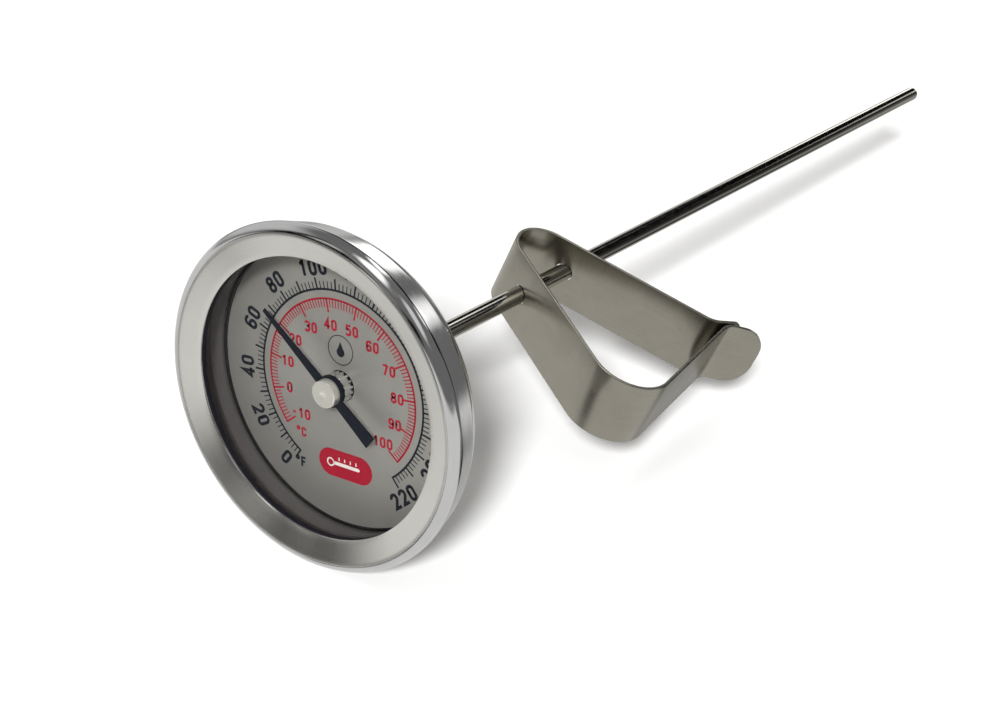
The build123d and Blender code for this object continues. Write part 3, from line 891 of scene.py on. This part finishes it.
# one soft lamp beside the camera, so that the shadows keep close to the object
KEY_FROM, KEY_ANGLE, KEY_POWER = in_studio(-0.13, -0.84, 0.54), 10.0, 4.8
key = bpy.data.lights.new("key_light", "SUN")
key.energy, key.angle = KEY_POWER, math.radians(KEY_ANGLE)
lamp = bpy.data.objects.new("key_light", key)
lamp.rotation_mode = "QUATERNION"
lamp.rotation_quaternion = KEY_FROM.to_track_quat("Z", "Y")
lamp.visible_camera = lamp.visible_glossy = False     # metal is lit by the panels below
bpy.context.scene.collection.objects.link(lamp)

TABLE_LIGHT, ROOM_LIGHT, HORIZON_SOFT = 0.72, 0.16, 0.06     # what metal sees below and above the horizon
TABLE_END_FROM, TABLE_END_TO, TABLE_END_DROP = 0.2, 0.7, 0.33
world = bpy.data.worlds.new("studio")
world.use_nodes = True
sky = world.node_tree
sky.nodes.clear()
towards = add(sky, "ShaderNodeTexCoord").outputs["Generated"]
height = add(sky, "ShaderNodeVectorMath", {0: towards, 1: TABLE_UP},
             operation="DOT_PRODUCT").outputs["Value"]
backwards = add(sky, "ShaderNodeVectorMath", {0: towards, 1: (0, 1, 0)},
                operation="DOT_PRODUCT").outputs["Value"]
# the white table ends sooner at the back
table_end = add(sky, "ShaderNodeMapRange",
                {"Value": backwards, "From Min": TABLE_END_FROM, "From Max": TABLE_END_TO,
                 "To Min": 0.0, "To Max": TABLE_END_DROP}, interpolation_type="SMOOTHSTEP").outputs[0]
over_table = add(sky, "ShaderNodeMath", {0: height, 1: table_end}, operation="ADD").outputs[0]
radiance = add(sky, "ShaderNodeMapRange",
               {"Value": over_table, "From Min": -HORIZON_SOFT, "From Max": HORIZON_SOFT,
                "To Min": TABLE_LIGHT, "To Max": ROOM_LIGHT}, interpolation_type="SMOOTHSTEP").outputs[0]


def sky_patch(radiance, direction, along, reach, change, soft=0.35):
    """Adds a soft-edged oval of light, or of dark, to the studio's surroundings.

    The oval's half sizes, in degrees, lie along one way and across it."""
    middle = Vector(direction).normalized()
    long_way = (Vector(along) - middle * middle.dot(Vector(along))).normalized()
    short_way = middle.cross(long_way)
    offsets = [add(sky, "ShaderNodeVectorMath", {0: towards, 1: way / math.sin(math.radians(size))},
                   operation="DOT_PRODUCT").outputs["Value"]
               for way, size in ((long_way, reach[0]), (short_way, reach[1]))]
    # keeps the oval off the opposite side of the sky
    facing = add(sky, "ShaderNodeVectorMath", {0: towards, 1: middle}, operation="DOT_PRODUCT")
    behind = add(sky, "ShaderNodeMath", {0: facing.outputs["Value"], 1: -1.0}, operation="ADD").outputs[0]
    place = add(sky, "ShaderNodeCombineXYZ", {"X": offsets[0], "Y": offsets[1], "Z": behind}).outputs[0]
    away = add(sky, "ShaderNodeVectorMath", {0: place}, operation="LENGTH").outputs["Value"]
    share = add(sky, "ShaderNodeMapRange",
                {"Value": away, "From Min": 1 + soft, "From Max": 1 - soft, "To Min": 0, "To Max": change},
                interpolation_type="SMOOTHSTEP").outputs[0]
    return add(sky, "ShaderNodeMath", {0: radiance, 1: share}, operation="ADD").outputs[0]


# panels of light and of dark, as (direction, long way, half sizes in degrees, change)
UPWARDS = (0, 0, 1)
for patch in (
        ((0.03, 0.62, 0.78), (0.22, -0.53, 0.39), (27, 6), 1.7),         # long panel overhead, to the back
        ((0.08, -0.45, 0.89), (0.2, 0.8, 0.4), (28, 9), 1.6),            # and to the front
        ((-0.33, 0.91, 0.24), (0.3, 0.08, 0.2), (7.5, 8), 1.6),          # highlights of the side wall
        ((0.32, 0.84, 0.42), (0.5, -0.37, 0.4), (28, 6), 1.3),
        ((0.60, -0.43, 0.67), (0.1, 0.7, 0.4), (22, 10), 0.6),
        ((0.47, 0.84, 0.22), (0.2, 0, -0.43), (22, 9), -0.14),           # black band of the stem
        ((0.02, 0.855, 0.52), (1, 0, -0.1), (34, 9), -1.8),              # and its dark upper side
        ((-0.60, 0.79, 0.12), UPWARDS, (16, 6), 0.35),                   # streak along its top edge
        ((-0.87, 0.1, 0.5), (0, 1, 0), (55, 22), 0.45),                  # wide panel on the left
        ((-0.5, -0.8, 0.3), (0.3, 0.1, 0.5), (12, 5), 0.8),
        ((-0.57, -0.82, -0.12), UPWARDS, (37, 11), -0.6),                # streaks of the bezel's face
        ((-0.30, -0.95, 0.02), UPWARDS, (30, 5), 0.12),
        ((-0.19, -0.98, -0.07), (-0.74, 0.24, -0.62), (25, 4.5), -0.4),
        ((-0.05, 0.80, -0.60), (1, 0, 0), (27, 13), -0.27),              # the object's own shadow, from below
        ((0.47, 0.75, -0.48), (0.8, -0.4, 0), (23, 12), -0.55)):         # end of the table on the right
    radiance = sky_patch(radiance, *patch)
radiance = add(sky, "ShaderNodeMath", {0: radiance, 1: 0.0}, operation="MAXIMUM").outputs[0]
backdrop = add(sky, "ShaderNodeLightPath").outputs["Is Camera Ray"]
surroundings = add(sky, "ShaderNodeBackground", {"Color": (1.0, 0.99, 0.96, 1), "Strength": radiance})
white = add(sky, "ShaderNodeBackground", {"Color": (1, 1, 1, 1), "Strength": 1.0})
seen = add(sky, "ShaderNodeMixShader", {0: backdrop, 1: surroundings.outputs[0], 2: white.outputs[0]})
add(sky, "ShaderNodeOutputWorld", {"Surface": seen.outputs[0]})
bpy.context.scene.world = world
bpy.context.scene.view_settings.view_transform = "Standard"

camera_data = bpy.data.cameras.new("camera")
camera_data.lens, camera_data.sensor_width = CAMERA_LENS, CAMERA_SENSOR
camera_data.clip_start, camera_data.clip_end = 0.01, 20.0
camera = bpy.data.objects.new("camera", camera_data)
camera.matrix_world = Matrix.Translation(CAMERA_AT) @ Matrix(
    (CAMERA_RIGHT, CAMERA_UP, CAMERA_RIGHT.cross(CAMERA_UP))).transposed().to_4x4()
bpy.context.scene.collection.objects.link(camera)
bpy.context.scene.camera = camera
